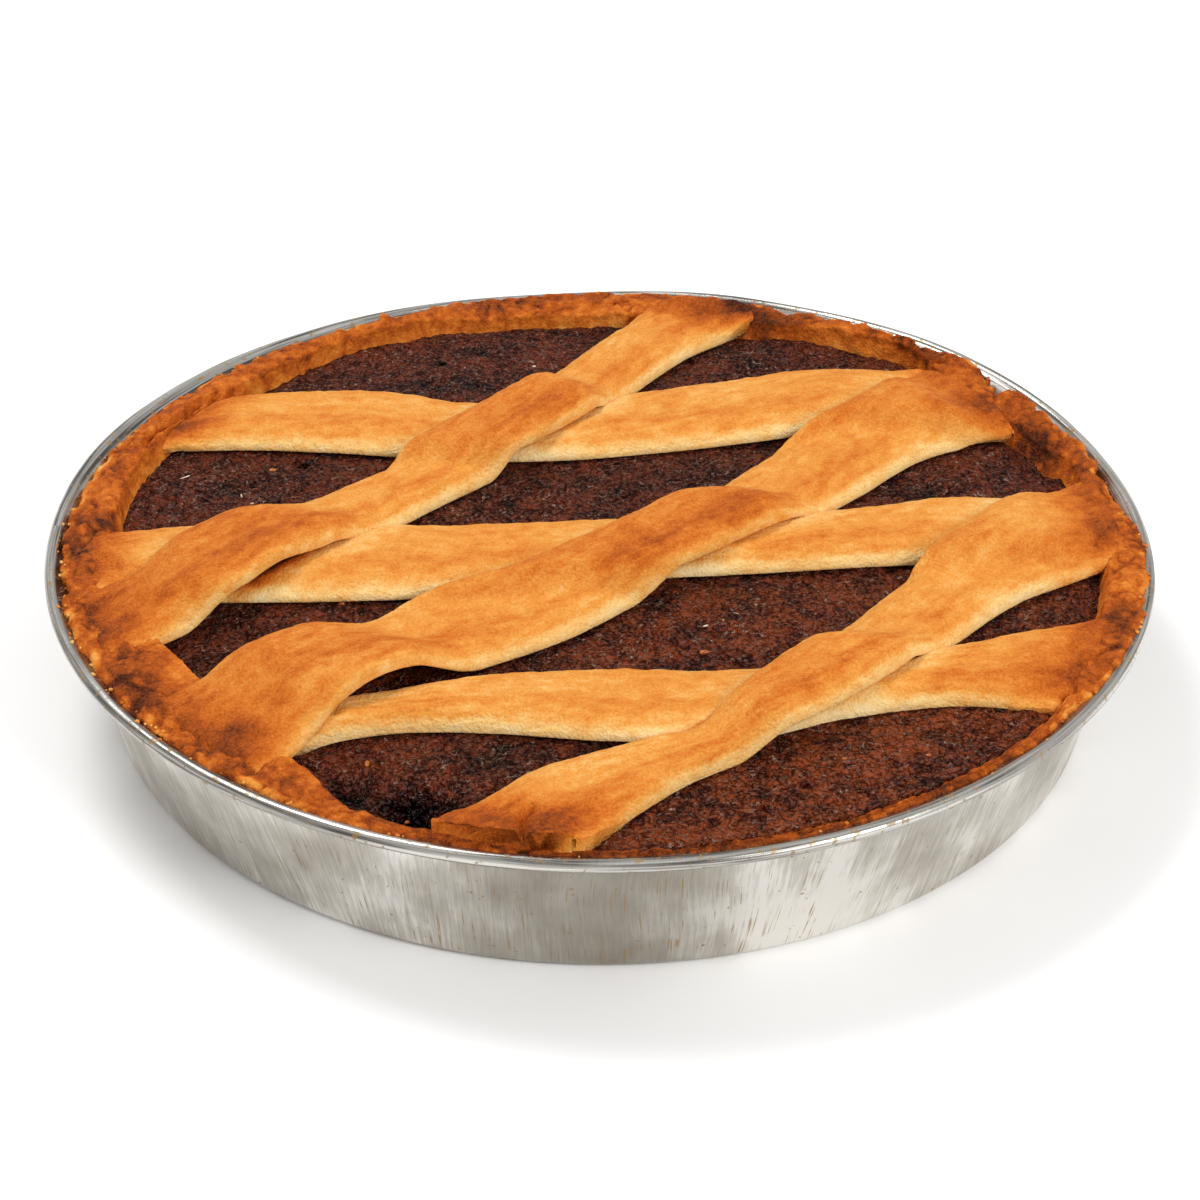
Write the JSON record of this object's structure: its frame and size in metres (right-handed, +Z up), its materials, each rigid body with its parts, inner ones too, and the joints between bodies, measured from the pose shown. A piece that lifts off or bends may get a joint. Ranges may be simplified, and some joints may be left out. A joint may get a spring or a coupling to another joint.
{
  "type": "pastiera in its baking tin",
  "caption": "Round pastiera: a shortcrust case baked dark at its rim, a dark filling level with the edge and a hand-cut dough lattice, in its flared baking tin.",
  "frame": {"origin": "middle of the tin's underside, on the surface it stands on", "axes": "+Z up out of the tart; the three lower strips of the lattice run roughly along X and the three upper ones from front-left to back-right; -Y is the side seen from the front"},
  "size_m": [0.26, 0.26, 0.0472],
  "materials": {
    "tin": "satin, scratched by use, with brown baked-on drips and a bright rolled bead",
    "crust": null,
    "filling": null,
    "lattice": null
  },
  "bodies": {
    "root": {"tin": "tin", "crust": "crust", "filling": "filling", "lower_strip_back": "lattice", "lower_strip_middle": "lattice", "lower_strip_front": "lattice", "upper_strip_left": "lattice", "upper_strip_middle": "lattice", "upper_strip_right": "lattice"}
  },
  "joints": []
}
